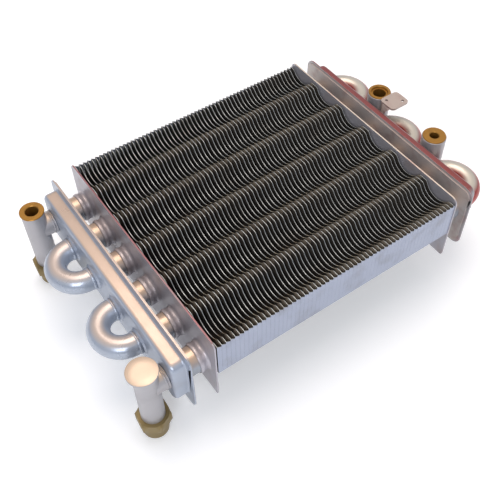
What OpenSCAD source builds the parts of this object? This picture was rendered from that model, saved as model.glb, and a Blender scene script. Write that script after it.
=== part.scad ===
// Two-circuit heat exchanger of a wall-hung gas boiler.
// X runs along the tubes, Y across them to the back, Z up.
// The origin is on the floor under the middle of the fin block.
// The four brass spigots stand on the floor at Z = 0.

/* [Fins] */
// Number of fins on the tubes
fin_count = 60; // [50:1:66]
// Distance from one fin to the next
fin_pitch = 3.14; // [2.8:0.02:3.6]
// Thickness of a fin
fin_t = 0.5; // [0.3:0.05:0.6]
// Height of a fin above the tube axis, half-way between two tubes
fin_crest = 26; // [24:0.1:27.4]
// Height of a fin above the tube axis, at the bottom of the hollow over a tube
fin_valley = 18.5; // [16:0.5:20]
// Radius of the round hollow over a tube
hollow_r = 11.8; // [10.4:0.1:12.4]
// Radius of the round corners between the hollows and the crests
crest_r = 3.2; // [1:0.1:3.4]
// Height of a fin above the tube axis, at its front and back edges
fin_edge = 24.2; // [22:0.1:26]
// Depth of a fin below the tube axis, under a tube
fin_foot = 12.5; // [11:0.5:14]
// Depth of a fin below the tube axis, half-way between two tubes
fin_notch = 4.7; // [1:0.1:8]
// Gap between a bent tab and the next fin
tab_gap = 0.1; // [0.05:0.05:0.3]
// Drop of a tab's top edge from the fin to its free end
tab_slope = 1.8; // [0:0.2:3]
// Gap between a tube plate and the fins
end_gap = 1.12; // [0.5:0.02:4]

/* [Tubes] */
// Distance from one tube to the next
tube_pitch = 29.5; // [29:0.5:33]
// Outer diameter of the outer tubes
tube_od = 18; // [17:0.5:19]
// Wall of the outer tubes
tube_wall = 0.8; // [0.7:0.1:1.2]
// Gap for the heating water between an inner tube and its outer tube
water_gap = 1.45; // [1.2:0.05:2]
// Wall of the inner tubes
inner_wall = 0.7; // [0.6:0.1:1.2]

/* [Tube plates] */
// Thickness of a tube plate
plate_t = 1; // [0.8:0.1:2]
// Height of a tube plate above the tube axis
plate_rise = 28; // [28:0.5:32]
// Depth of a tube plate below the tube axis
plate_drop = 28; // [20:0.5:32]
// How far a tube plate stands proud of the fins at the front and back
plate_proud = 0.5; // [0:0.5:3]
// Radius of a tube plate's top corners
plate_corner = 5; // [2:0.5:8]
// Radius of a tube plate's bottom corners
plate_foot_corner = 2; // [1:0.5:6]
// Length of the collar drawn out of a tube plate round each tube
collar_len = 6.4; // [4:0.2:8]
// Wall of that collar
collar_wall = 0.7; // [0.6:0.1:1.5]
// Radius of the round foot of that collar
collar_foot = 2; // [0.5:0.1:2.5]
// Width of the bead at the end of that collar
bead_w = 3; // [2:0.1:3.5]
// Height of that bead over the collar
bead_h = 0.4; // [0.3:0.1:1]

/* [Header pans] */
// Free length of tube between a tube plate and its header plate
stub_len = 14.2; // [12:0.2:24]
// Thickness of a header plate
header_t = 1; // [0.8:0.1:2]
// Sheet thickness of a pan
pan_t = 1; // [0.8:0.1:1.6]
// Height of a pan's flange above the tube axis
flange_rise = 24.5; // [23:0.5:28]
// Depth of a pan's flange below the tube axis
flange_drop = 29; // [24:0.5:31]
// How far a pan's flange stands out past the outermost tube axis
flange_past = 15.25; // [14:0.25:18]
// Radius of a flange's corners
flange_corner = 7; // [4:0.5:12]
// How far a header plate's edge lies inside the flange's edge
header_inset = 2; // [1:0.5:3]
// Height of a pan's box above and below the tube axis
box_half = 18.75; // [17:0.25:20]
// How far the box stands out past the outermost tube axis
box_past = 10.25; // [10:0.25:12]
// Height of the box over the flange
box_depth = 9.8; // [8:0.2:14]
// Radius of the box's upright corners
box_corner = 6; // [4.5:0.5:8]
// Radius of the rim between the box's side and its face
box_rim = 3; // [2:0.1:3.6]
// Length of the collar drawn out of the box's face round each bend
port_len = 1.2; // [0.8:0.1:1.4]
// Wall of that collar
port_wall = 1; // [0.6:0.1:1.4]
// Thickness of the divider inside the right pan
divider_t = 1; // [0.8:0.1:2]

/* [Bends] */
// Wall of the U-bends
bend_wall = 0.75; // [0.7:0.05:1.1]
// Straight length of the left bends outside the pan
left_leg = 3.8; // [3.4:0.2:8]
// Straight length of the right bends outside the pan
right_leg = 1.6; // [1.4:0.2:3]
// Width of the swollen ring on a left bend's leg
ring_w = 1.8; // [1:0.1:2]
// Height of that ring over the leg
ring_h = 0.5; // [0.2:0.1:0.8]
// How far a bend's leg reaches into the pan
leg_inside = 3; // [2:0.5:5]
// Gap between the end of an inner tube and the start of the curve
tube_end_gap = 0.4; // [0.2:0.1:1]

/* [Left connectors] */
// Outer diameter of the left connectors
left_od = 15.5; // [14:0.1:17]
// Height of the left connectors above the tube axis
left_rise = 17; // [14:0.5:22]
// Distance from the left pan's face to the connectors' axis
left_reach = 12.2; // [11:0.2:18]

/* [Right connectors] */
// Outer diameter of the right connectors
right_od = 17.6; // [17:0.2:19]
// Height of the right connectors above the tube axis
right_rise = 19.5; // [16:0.5:24]
// Least distance from the right pan's face to the connectors' axis
right_reach = 11.4; // [11:0.2:18]
// Gap between a right connector and the bends beside it
right_gap = 0.1; // [0.05:0.05:1]
// Outer diameter of a right connector's neck
right_neck_od = 11; // [9:0.5:11]

/* [All connectors] */
// Wall of the connectors
connector_wall = 1; // [0.8:0.1:1.4]
// How far the hexagons lie below the pans
hex_below = 4.5; // [2:0.5:8]

/* [Brass fittings] */
// Width across the flats of the left hexagons
left_hex = 20; // [19.5:0.5:23]
// Width across the flats of the right hexagons
right_hex = 25; // [23:0.5:26]
// Height of the hexagons
hex_h = 8.5; // [6.5:0.5:12]
// How deep a connector sits in its fitting
fitting_seat = 5; // [3:0.5:6]
// Diameter of the left spigots
left_spigot = 17; // [16:0.5:18]
// Diameter of the right spigots
right_spigot = 20; // [18:0.5:21]
// Length of the spigots
spigot_len = 10.7; // [8:0.1:20]
// Bore of the left fittings
left_bore = 12; // [8:0.5:13]
// Bore of the right fittings
right_bore = 14; // [8:0.5:15]
// Size of the chamfer at the end of a spigot
spigot_chamfer = 0.8; // [0.4:0.1:1.2]

/* [Sensor bushes] */
// Height of a bush's brim over its connector
brim_h = 0.8; // [0.4:0.1:3]
// How far a left bush's brim stands out past its connector
brim_past = 0.6; // [0:0.1:1]
// How far a right bush's brim lies inside its connector's edge
brim_inside = 0.4; // [0.2:0.1:0.8]
// Depth of a bush inside its connector
bush_depth = 10; // [6:0.5:12]
// Hole in the left bush
left_port = 8.8; // [6:0.2:10]
// Hole in the right back bush
wide_port = 9.6; // [6:0.2:10]
// Hole in the right front bush
narrow_port = 6.6; // [4:0.2:8]
// Diameter of the sunk ring round the right back port
sunk_ring = 12.4; // [11:0.1:14]
// Depth of that sunk ring
sunk_depth = 1.6; // [0.5:0.1:3]

/* [End cap] */
// How far the cap stands out past the left front connector
cap_past = 2.05; // [1.5:0.05:3]
// Height of the cap
cap_h = 6; // [3:0.5:8]
// Thickness of the cap's top
cap_top = 1.5; // [0.8:0.1:2]
// How far the cap leans out from the connector's axis
cap_lean = 1; // [0:0.1:1.2]
// Wall of the cap at its lower edge
cap_wall = 0.3; // [0.2:0.1:1]

/* [Bracket] */
// Thickness of the bracket
bracket_t = 1.5; // [1:0.1:2]
// Width of the bracket's pad
bracket_w = 14.5; // [12:0.5:16]
// Length of the bracket's pad
bracket_len = 16.6; // [15:0.2:24]
// Radius of the pad's corners
bracket_corner = 3; // [2:0.5:4]
// Gap between the pad and the bush beside it
bracket_lift = 0.8; // [0.2:0.1:2]
// Width of the bracket's leg
bracket_leg_w = 12; // [8:0.5:14]
// Length of the bracket's leg under the pad
bracket_leg_len = 13; // [8:0.5:14]
// Diameter of the two holes in the pad
bracket_hole = 2.4; // [2:0.1:3]
// Gap between the leg and the connector that it is brazed to
bracket_gap = 0.05; // [0.05:0.05:0.5]

/* [Hidden] */

$fn = 48;
tube_count = 6;

// Heights
connector_drop = flange_drop + hex_below;
axis_z = connector_drop + hex_h + spigot_len;

// Radii. The bends and the left connectors' necks close on the inner tubes.
tube_r = tube_od / 2;
inner_r = tube_r - tube_wall - water_gap;
bend_r = inner_r + bend_wall;
left_neck_r = inner_r + connector_wall;
left_passage_r = min(left_od / 2, left_neck_r) - connector_wall;
cap_r = left_od / 2 + cap_past;
curve_r = tube_pitch / 2;

// Stations along X, from the middle of the block outwards
core_half = ((fin_count - 1) * fin_pitch + fin_t) / 2;
plate_in = core_half + end_gap;
plate_out = plate_in + plate_t;
header_in = plate_out + stub_len;
header_out = header_in + header_t;
flange_out = header_out + pan_t;
face_x = flange_out + box_depth;
left_curve_x = face_x + left_leg;
right_curve_x = face_x + right_leg;
left_connector_x = face_x + left_reach;
// The right connectors stand in the notches between the round bends
notch_r = curve_r + bend_r + right_gap + right_od / 2;
notch_reach = right_leg + sqrt(max(0, notch_r * notch_r - tube_pitch * tube_pitch));
right_connector_x = face_x + max(right_reach, notch_reach);

// Stations across Y
function tube_y(n) = ((tube_count + 1) / 2 - n) * tube_pitch;
outer_axis_y = tube_y(1);
fin_half_w = tube_count * curve_r;
right_back_y = (tube_y(2) + tube_y(3)) / 2;
right_front_y = (tube_y(4) + tube_y(5)) / 2;

// Colours
copper_paint = "silver";
fin_metal = "dimgray";
brass = "peru";

// A fin's top edge: a round hollow over each tube and a flat crest between two hollows.
// The arcs of a hollow and of the round corner beside it meet where both have turned by turn().
corner_steps = 2;
hollow_steps = 4;
function rise(crest) = crest - fin_valley;
function flat_y(crest) = sqrt(rise(crest) * (2 * hollow_r + 2 * crest_r - rise(crest)));
function turn(crest) = asin(flat_y(crest) / (hollow_r + crest_r));
function corner_point(crest, a) = [flat_y(crest) - crest_r * sin(a), crest - crest_r * (1 - cos(a))];
function hollow_point(a) = [hollow_r * sin(a), fin_valley + hollow_r * (1 - cos(a))];
// Half a hollow from the end of the flat crest down to the bottom, as distances from the tube
function half_hollow(crest) = concat(
    [for (i = [0 : corner_steps]) corner_point(crest, turn(crest) * i / corner_steps)],
    [for (i = [hollow_steps - 1 : -1 : 0]) hollow_point(turn(crest) * i / hollow_steps)]
);
// One tube's stretch of the top edge, from its left crest to its right crest
half_last = corner_steps + hollow_steps;
function stretch(y, left_crest, right_crest) =
    let (left = half_hollow(left_crest), right = half_hollow(right_crest)) concat(
        [for (p = left) [y - p[0], p[1]]],
        [for (i = [half_last - 1 : -1 : 0]) [y + right[i][0], right[i][1]]]
    );
fin_outline = concat(
    [[-fin_half_w, -fin_notch], [-fin_half_w, fin_edge]],
    [for (n = [tube_count : -1 : 1])
        each stretch(tube_y(n), n == tube_count ? fin_edge : fin_crest, n == 1 ? fin_edge : fin_crest)],
    [[fin_half_w, fin_edge], [fin_half_w, -fin_notch]]
);
// A tab reaches almost to the next fin, and the last fin's tab almost to the tube plate
full_tab = fin_pitch - tab_gap;
last_tab = min(full_tab, end_gap + fin_t - tab_gap);

// Stands a flat shape drawn in Y and Z upright, with its thickness along +X
module upright(x, thickness) {
    translate([x, 0, axis_z])
        rotate([90, 0, 90])
            linear_extrude(height = thickness) children();
}

// A cylinder along X from x1 to x2 on the axis at height axis_z
module bar_x(x1, x2, y, r) {
    translate([x1, y, axis_z])
        rotate([0, 90, 0]) cylinder(h = x2 - x1, r = r);
}

// What stands at the right end is drawn as it is, and at the left end mirrored
module at_end(left) {
    mirror([left ? 1 : 0, 0, 0]) children();
}

module rounded_rect(y1, y2, z1, z2, r) {
    translate([y1 + r, z1]) square([y2 - y1 - 2 * r, z2 - z1]);
    translate([y1, z1 + r]) square([y2 - y1, z2 - z1 - 2 * r]);
    for (y = [y1 + r, y2 - r], z = [z1 + r, z2 - r]) translate([y, z]) circle(r = r);
}

// One fin with its two bent tabs
module fin(x, tab_len) {
    upright(x, fin_t) difference() {
        union() {
            polygon(fin_outline);
            for (n = [1 : tube_count]) translate([tube_y(n), 0]) circle(r = fin_foot);
        }
        for (n = [1 : tube_count]) translate([tube_y(n), 0]) circle(r = tube_r);
    }
    tab_end = fin_edge - tab_slope * tab_len / full_tab;
    tab = [[0, -fin_notch], [tab_len, -fin_notch], [tab_len, tab_end], [0, fin_edge]];
    for (y = [-fin_half_w + fin_t, fin_half_w])
        translate([x, y, axis_z]) rotate([90, 0, 0]) linear_extrude(height = fin_t) polygon(tab);
}

module fin_pack() {
    color(fin_metal)
        for (i = [0 : fin_count - 1])
            fin(-core_half + i * fin_pitch, i == fin_count - 1 ? last_tab : full_tab);
}

// The drawn collar's section: a round foot against the plate and a bead at its end
foot_steps = 4;
collar_r = tube_r + collar_wall;
function foot_point(i) = let (a = 90 * i / foot_steps)
    [collar_r + collar_foot * (1 - sin(a)), collar_foot * (1 - cos(a))];
bead_bevel = bead_h / 2;
collar_section = concat(
    [[tube_r, -plate_t], [collar_r + collar_foot, -plate_t]],
    [for (i = [0 : foot_steps]) foot_point(i)],
    [
        [collar_r, collar_len - bead_w], [collar_r + bead_h, collar_len - bead_w + bead_bevel],
        [collar_r + bead_h, collar_len - bead_bevel], [collar_r, collar_len], [tube_r, collar_len]
    ]
);

module tube_plate() {
    half_w = fin_half_w + plate_proud;
    difference() {
        upright(plate_in, plate_t) {
            rounded_rect(-half_w, half_w, -plate_drop, plate_corner, plate_foot_corner);
            rounded_rect(-half_w, half_w, -plate_corner, plate_rise, plate_corner);
        }
        for (n = [1 : tube_count]) bar_x(plate_in - 1, plate_out + 1, tube_y(n), collar_r + collar_foot);
    }
    for (n = [1 : tube_count])
        translate([plate_out, tube_y(n), axis_z])
            rotate([0, 90, 0]) rotate_extrude() polygon(collar_section);
}

module tube_plate_left() {
    color(copper_paint) at_end(true) tube_plate();
}

module tube_plate_right() {
    color(copper_paint) tube_plate();
}

module outer_tube(n) {
    color("tan") difference() {
        bar_x(-header_out, header_out, tube_y(n), tube_r);
        bar_x(-header_out - 1, header_out + 1, tube_y(n), tube_r - tube_wall);
    }
}

module inner_tube(n) {
    left_end = left_curve_x - tube_end_gap;
    right_end = right_curve_x - tube_end_gap;
    color("sienna") difference() {
        bar_x(-left_end, right_end, tube_y(n), inner_r);
        bar_x(-left_end - 1, right_end + 1, tube_y(n), inner_r - inner_wall);
    }
}

module outer_tube_1() { outer_tube(1); }
module outer_tube_2() { outer_tube(2); }
module outer_tube_3() { outer_tube(3); }
module outer_tube_4() { outer_tube(4); }
module outer_tube_5() { outer_tube(5); }
module outer_tube_6() { outer_tube(6); }
module inner_tube_1() { inner_tube(1); }
module inner_tube_2() { inner_tube(2); }
module inner_tube_3() { inner_tube(3); }
module inner_tube_4() { inner_tube(4); }
module inner_tube_5() { inner_tube(5); }
module inner_tube_6() { inner_tube(6); }

module header_plate() {
    half_w = outer_axis_y + flange_past - header_inset;
    difference() {
        upright(header_in, header_t)
            rounded_rect(-half_w, half_w, header_inset - flange_drop, flange_rise - header_inset,
                flange_corner - header_inset);
        for (n = [1 : tube_count]) bar_x(header_in - 1, header_out + 1, tube_y(n), tube_r);
    }
}

module header_plate_left() {
    color(copper_paint) at_end(true) header_plate();
}

module header_plate_right() {
    color(copper_paint) header_plate();
}

// A box from x1 to x2 with round upright corners and a round rim at x2
rim_steps = 4;
module rimmed_box(x1, x2, half_w, half_h, corner, rim) {
    depth = x2 - x1;
    post = concat(
        [[0, 0], [corner, 0]],
        [for (i = [0 : rim_steps]) let (a = 90 * i / rim_steps)
            [corner - rim + rim * cos(a), depth - rim + rim * sin(a)]],
        [[0, depth]]
    );
    hull()
        for (y = [-half_w + corner, half_w - corner], z = [-half_h + corner, half_h - corner])
            translate([x1, y, axis_z + z])
                rotate([0, 90, 0]) rotate_extrude($fn = 32) polygon(post);
}

// A pan's flange, hollow box and face, with a port_len collar at each y in ports
module header_pan(ports, port_r) {
    flange_w = outer_axis_y + flange_past;
    box_w = outer_axis_y + box_past;
    difference() {
        union() {
            upright(header_out, pan_t)
                rounded_rect(-flange_w, flange_w, -flange_drop, flange_rise, flange_corner);
            rimmed_box(header_out, face_x, box_w, box_half, box_corner, box_rim);
            for (y = ports) bar_x(face_x - pan_t, face_x + port_len, y, port_r + port_wall);
        }
        rimmed_box(header_out - 1, face_x - pan_t, box_w - pan_t, box_half - pan_t,
            box_corner - pan_t, box_rim - pan_t);
        for (y = ports) bar_x(face_x - pan_t - 1, face_x + port_len + 1, y, port_r);
    }
}

left_bend_ports = [for (n = [2 : 5]) tube_y(n)];
right_bend_ports = [for (n = [1 : tube_count]) tube_y(n)];
left_neck_ports = [tube_y(1), tube_y(6)];

module header_pan_left() {
    color(copper_paint) at_end(true) difference() {
        header_pan(left_bend_ports, bend_r);
        for (y = left_neck_ports) bar_x(face_x - pan_t - 1, face_x + 1, y, left_neck_r);
    }
}

module header_pan_right() {
    color(copper_paint) difference() {
        header_pan(right_bend_ports, bend_r);
        for (y = [right_back_y, right_front_y]) bar_x(face_x - pan_t - 1, face_x + 1, y, right_neck_od / 2);
    }
}

// The divider follows the inside of the right pan between tubes 3 and 4
module pan_divider() {
    inside_half = box_half - pan_t;
    inside_x = face_x - pan_t;
    rim = box_rim - pan_t;
    color(copper_paint)
        translate([0, divider_t / 2, axis_z]) rotate([90, 0, 0]) linear_extrude(height = divider_t)
            polygon([
                [header_out, -inside_half], [inside_x - rim, -inside_half], [inside_x, -inside_half + rim],
                [inside_x, inside_half - rim], [inside_x - rim, inside_half], [header_out, inside_half]
            ]);
}

// A bar bent through half a turn round tubes n and n + 1, with legs from leg_x to curve_x
module hairpin(n, leg_x, curve_x, r) {
    for (k = [n, n + 1]) bar_x(leg_x, curve_x, tube_y(k), r);
    translate([curve_x, (tube_y(n) + tube_y(n + 1)) / 2, axis_z])
        rotate([0, 0, -90]) rotate_extrude(angle = 180) translate([curve_r, 0]) circle(r = r);
}

// A U-bend over tubes n and n + 1, with or without a swollen ring on each leg
module u_bend(n, curve_x, ringed) {
    ring_x = face_x + port_len + (curve_x - face_x - port_len - ring_w) / 2;
    difference() {
        union() {
            hairpin(n, face_x - leg_inside, curve_x, bend_r);
            if (ringed) for (k = [n, n + 1]) bar_x(ring_x, ring_x + ring_w, tube_y(k), bend_r + ring_h);
        }
        hairpin(n, face_x - leg_inside - 1, curve_x, inner_r);
    }
}

module u_bend_left_back() { color(copper_paint) at_end(true) u_bend(2, left_curve_x, true); }
module u_bend_left_front() { color(copper_paint) at_end(true) u_bend(4, left_curve_x, true); }
module u_bend_right_back() { color(copper_paint) u_bend(1, right_curve_x, false); }
module u_bend_right_middle() { color(copper_paint) u_bend(3, right_curve_x, false); }
module u_bend_right_front() { color(copper_paint) u_bend(5, right_curve_x, false); }

// A standing tube at x, y with a bore and a neck to the pan
module connector(x, y, od, rise, neck_r, passage_r) {
    bottom = -connector_drop - fitting_seat;
    neck_x = face_x - leg_inside;
    difference() {
        union() {
            translate([x, y, axis_z + bottom]) cylinder(h = rise - bottom, r = od / 2);
            bar_x(neck_x, x, y, neck_r);
        }
        translate([x, y, axis_z + bottom - 1])
            cylinder(h = rise - bottom + 2, r = od / 2 - connector_wall);
        bar_x(neck_x - 1, x, y, passage_r);
    }
}

// The left connectors' necks carry two swollen rings and hold the ends of the inner tubes
module left_connector(y) {
    at_end(true) difference() {
        union() {
            connector(left_connector_x, y, left_od, left_rise, left_neck_r, left_passage_r);
            for (x = [face_x, face_x + port_len + tube_end_gap])
                bar_x(x, x + port_len, y, left_neck_r + ring_h);
        }
        bar_x(face_x - leg_inside - 1, left_curve_x, y, inner_r);
    }
}

module right_connector(y) {
    neck_r = right_neck_od / 2;
    connector(right_connector_x, y, right_od, right_rise, neck_r, neck_r - connector_wall);
}

module connector_left_back() { color(copper_paint) left_connector(tube_y(1)); }
module connector_left_front() { color(copper_paint) left_connector(tube_y(6)); }
module connector_right_back() { color(copper_paint) right_connector(right_back_y); }
module connector_right_front() { color(copper_paint) right_connector(right_front_y); }

// A turned bush with a brim on the connector's end and a port through it
module sensor_bush(x, y, top, brim_r, plug_r, port_r) {
    translate([x, y, axis_z + top]) difference() {
        union() {
            cylinder(h = brim_h, r = brim_r);
            translate([0, 0, -bush_depth]) cylinder(h = bush_depth, r = plug_r);
        }
        translate([0, 0, -bush_depth - 1]) cylinder(h = bush_depth + brim_h + 2, r = port_r);
    }
}

left_plug_r = left_od / 2 - connector_wall;
right_plug_r = right_od / 2 - connector_wall;
right_brim_r = right_od / 2 - brim_inside;

module sensor_bush_left() {
    color(brass) sensor_bush(-left_connector_x, tube_y(1), left_rise,
        left_od / 2 + brim_past, left_plug_r, left_port / 2);
}

module sensor_bush_right_back() {
    color(brass) difference() {
        sensor_bush(right_connector_x, right_back_y, right_rise, right_brim_r, right_plug_r, wide_port / 2);
        translate([right_connector_x, right_back_y, axis_z + right_rise + brim_h - sunk_depth])
            cylinder(h = sunk_depth + 1, r = sunk_ring / 2);
    }
}

module sensor_bush_right_front() {
    color(brass) sensor_bush(right_connector_x, right_front_y, right_rise,
        right_brim_r, right_plug_r, narrow_port / 2);
}

// The cap is a flat disc over a cone that closes on the connector's tube
module connector_end_cap() {
    color(copper_paint)
        translate([-left_connector_x, tube_y(6), axis_z + left_rise]) difference() {
            union() {
                translate([-cap_lean, 0, 0]) cylinder(h = cap_top, r = cap_r);
                translate([0, 0, cap_top - cap_h])
                    cylinder(h = cap_h - cap_top, r1 = left_od / 2 + cap_wall, r2 = cap_r - cap_lean);
            }
            translate([0, 0, -cap_h]) cylinder(h = cap_h, r = left_od / 2);
        }
}

// Angle of the left hexagons; the right ones have a corner that points away from the pan
left_hex_turn = -35;

// A hexagon with a seat for the connector above it and a spigot below
module hex_fitting(x, y, af, turn, spigot, bore, seat) {
    translate([x, y, 0]) difference() {
        union() {
            cylinder(h = spigot_chamfer, r1 = spigot / 2 - spigot_chamfer, r2 = spigot / 2);
            translate([0, 0, spigot_chamfer]) cylinder(h = spigot_len - spigot_chamfer, r = spigot / 2);
            translate([0, 0, spigot_len]) rotate([0, 0, turn])
                cylinder(h = hex_h, r = af / 2 / cos(30), $fn = 6);
        }
        translate([0, 0, -1]) cylinder(h = spigot_len + hex_h + 2, r = bore / 2);
        translate([0, 0, spigot_len + hex_h - fitting_seat]) cylinder(h = fitting_seat + 1, r = seat / 2);
    }
}

module left_fitting(y) {
    color(brass)
        hex_fitting(-left_connector_x, y, left_hex, left_hex_turn, left_spigot, left_bore, left_od);
}

module right_fitting(y) {
    color(brass)
        hex_fitting(right_connector_x, y, right_hex, 0, right_spigot, right_bore, right_od);
}

module hex_fitting_left_back() { left_fitting(tube_y(1)); }
module hex_fitting_left_front() { left_fitting(tube_y(6)); }
module hex_fitting_right_back() { right_fitting(right_back_y); }
module hex_fitting_right_front() { right_fitting(right_front_y); }

// A flat pad beside the right back connector, with a leg brazed to the connector's side
module sensor_bracket() {
    back_y = right_back_y - right_od / 2 - bracket_gap;
    front_y = back_y - bracket_w;
    mid_y = (front_y + back_y) / 2;
    mid_x = right_connector_x;
    pad_z = axis_z + right_rise + brim_h + bracket_lift;
    half_len = bracket_len / 2;
    hole_inset = bracket_w / 4;
    color("rosybrown") {
        difference() {
            translate([0, 0, pad_z]) linear_extrude(height = bracket_t)
                rounded_rect(mid_x - half_len, mid_x + half_len, front_y, back_y, bracket_corner);
            for (side = [-1, 1])
                translate([mid_x + side * (half_len - hole_inset), mid_y - side * hole_inset, pad_z - 1])
                    cylinder(h = bracket_t + 2, r = bracket_hole / 2);
        }
        translate([mid_x - bracket_leg_w / 2, back_y - bracket_t, pad_z - bracket_leg_len])
            cube([bracket_leg_w, bracket_t, bracket_leg_len]);
    }
}

fin_pack();
tube_plate_left();
tube_plate_right();
outer_tube_1();
outer_tube_2();
outer_tube_3();
outer_tube_4();
outer_tube_5();
outer_tube_6();
inner_tube_1();
inner_tube_2();
inner_tube_3();
inner_tube_4();
inner_tube_5();
inner_tube_6();
header_plate_left();
header_plate_right();
header_pan_left();
header_pan_right();
pan_divider();
u_bend_left_back();
u_bend_left_front();
u_bend_right_back();
u_bend_right_middle();
u_bend_right_front();
connector_left_back();
connector_left_front();
connector_right_back();
connector_right_front();
sensor_bush_left();
sensor_bush_right_back();
sensor_bush_right_front();
connector_end_cap();
hex_fitting_left_back();
hex_fitting_left_front();
hex_fitting_right_back();
hex_fitting_right_front();
sensor_bracket();
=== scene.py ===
import math
import random

import bmesh
import bpy
from mathutils import Matrix, Vector


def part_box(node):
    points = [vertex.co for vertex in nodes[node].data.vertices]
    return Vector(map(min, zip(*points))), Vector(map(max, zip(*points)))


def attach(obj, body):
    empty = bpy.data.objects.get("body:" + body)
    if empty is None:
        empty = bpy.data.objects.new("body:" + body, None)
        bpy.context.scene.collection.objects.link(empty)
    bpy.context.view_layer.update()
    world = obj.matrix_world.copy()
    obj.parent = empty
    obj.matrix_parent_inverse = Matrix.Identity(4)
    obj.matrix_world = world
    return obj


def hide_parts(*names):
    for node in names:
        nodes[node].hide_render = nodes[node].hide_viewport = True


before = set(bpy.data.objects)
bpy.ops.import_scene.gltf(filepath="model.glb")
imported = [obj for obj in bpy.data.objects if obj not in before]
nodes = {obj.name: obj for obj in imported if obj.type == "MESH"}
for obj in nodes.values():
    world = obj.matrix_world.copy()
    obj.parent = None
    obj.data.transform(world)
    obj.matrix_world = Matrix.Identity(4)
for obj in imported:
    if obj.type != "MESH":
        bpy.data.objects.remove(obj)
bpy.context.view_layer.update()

# Camera. It stands in front of the left end and looks down on the block at about 51 degrees,
# with the lens of a 54 mm view, so that the picture has the photograph's perspective.
MM = 0.001
VIEW_AIM = Vector((-38.7, -44.0, 80.7)) * MM
VIEW_DISTANCE = 465.9 * MM
VIEW_AZIMUTH = math.radians(-34.58)
VIEW_ELEVATION = math.radians(51.45)
VIEW_ROLL = math.radians(-0.67)
VIEW_LENS = 54.39

view_back = Vector((
    math.sin(VIEW_AZIMUTH) * math.cos(VIEW_ELEVATION),
    -math.cos(VIEW_AZIMUTH) * math.cos(VIEW_ELEVATION),
    math.sin(VIEW_ELEVATION),
))
view_right = (-view_back).cross(Vector((0, 0, 1))).normalized()
view_up = view_right.cross(-view_back)
rolled_right = math.cos(VIEW_ROLL) * view_right + math.sin(VIEW_ROLL) * view_up
rolled_up = math.cos(VIEW_ROLL) * view_up - math.sin(VIEW_ROLL) * view_right

camera = bpy.data.objects.new("camera", bpy.data.cameras.new("camera"))
bpy.context.scene.collection.objects.link(camera)
camera.data.lens = VIEW_LENS
camera.data.sensor_width = 36
camera.data.clip_start = 0.01
camera.matrix_world = Matrix.Translation(VIEW_AIM + view_back * VIEW_DISTANCE) @ Matrix((
    (rolled_right.x, rolled_up.x, view_back.x),
    (rolled_right.y, rolled_up.y, view_back.y),
    (rolled_right.z, rolled_up.z, view_back.z),
)).to_4x4()
bpy.context.scene.camera = camera
bpy.context.scene.view_settings.view_transform = "Standard"


# Studio. The floor is matt white card under large soft lamps, and the room round it is white
# to the eye, warmer overhead and cooler near the floor where the metal mirrors it.
def srgb(code):
    """A hex colour such as 'c8a064' as linear red, green, blue and alpha."""
    channels = [int(code[i:i + 2], 16) / 255 for i in (0, 2, 4)]
    linear = [c / 12.92 if c <= 0.04045 else ((c + 0.055) / 1.055) ** 2.4 for c in channels]
    return (*linear, 1.0)


def new_material(name):
    """An empty material with its output node: returns the material and its node tree."""
    material = bpy.data.materials.new(name)
    material.use_nodes = True
    material.node_tree.nodes.clear()
    return material, material.node_tree


def add(tree, kind, inputs=(), **settings):
    """Adds a node, sets its settings, and fills its inputs with values or links from other nodes."""
    node = tree.nodes.new(kind)
    for key, value in settings.items():
        setattr(node, key, value)
    for key, value in dict(inputs).items():
        if isinstance(value, bpy.types.NodeSocket):
            tree.links.new(value, node.inputs[key])
        else:
            node.inputs[key].default_value = value
    return node


def link_piece(name, bm, materials, smooth=True):
    """Makes the finished mesh a piece of the object, riding on its one body."""
    bmesh.ops.recalc_face_normals(bm, faces=bm.faces)
    mesh = bpy.data.meshes.new(name)
    bm.to_mesh(mesh)
    bm.free()
    for material in materials:
        mesh.materials.append(material)
    if smooth:
        mesh.shade_smooth()
        mesh.set_sharp_from_angle(angle=math.radians(38))
    piece = bpy.data.objects.new(name, mesh)
    bpy.context.scene.collection.objects.link(piece)
    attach(piece, "root")
    return piece


FLOOR_HALF = 3.0
floor_mesh = bmesh.new()
bmesh.ops.create_grid(floor_mesh, x_segments=1, y_segments=1, size=FLOOR_HALF)
floor_data = bpy.data.meshes.new("floor")
floor_mesh.to_mesh(floor_data)
floor_mesh.free()
floor = bpy.data.objects.new("floor", floor_data)
bpy.context.scene.collection.objects.link(floor)
card, card_tree = new_material("matt_white_card")
card_path = add(card_tree, "ShaderNodeLightPath")
card_seen = add(card_tree, "ShaderNodeMath",
                {0: card_path.outputs["Is Camera Ray"], 1: card_path.outputs["Is Glossy Ray"]},
                operation="MAXIMUM")
card_matt = add(card_tree, "ShaderNodeBsdfDiffuse", {"Color": srgb("f4f5f7")})
card_glow = add(card_tree, "ShaderNodeEmission", {"Color": srgb("ffffff"), "Strength": 0.25})
card_sum = add(card_tree, "ShaderNodeAddShader", {0: card_matt.outputs[0], 1: card_glow.outputs[0]})
card_mix = add(card_tree, "ShaderNodeMixShader",
               {0: card_seen.outputs[0], 1: card_matt.outputs[0], 2: card_sum.outputs[0]})
add(card_tree, "ShaderNodeOutputMaterial", {"Surface": card_mix.outputs[0]})
floor_data.materials.append(card)

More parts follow.
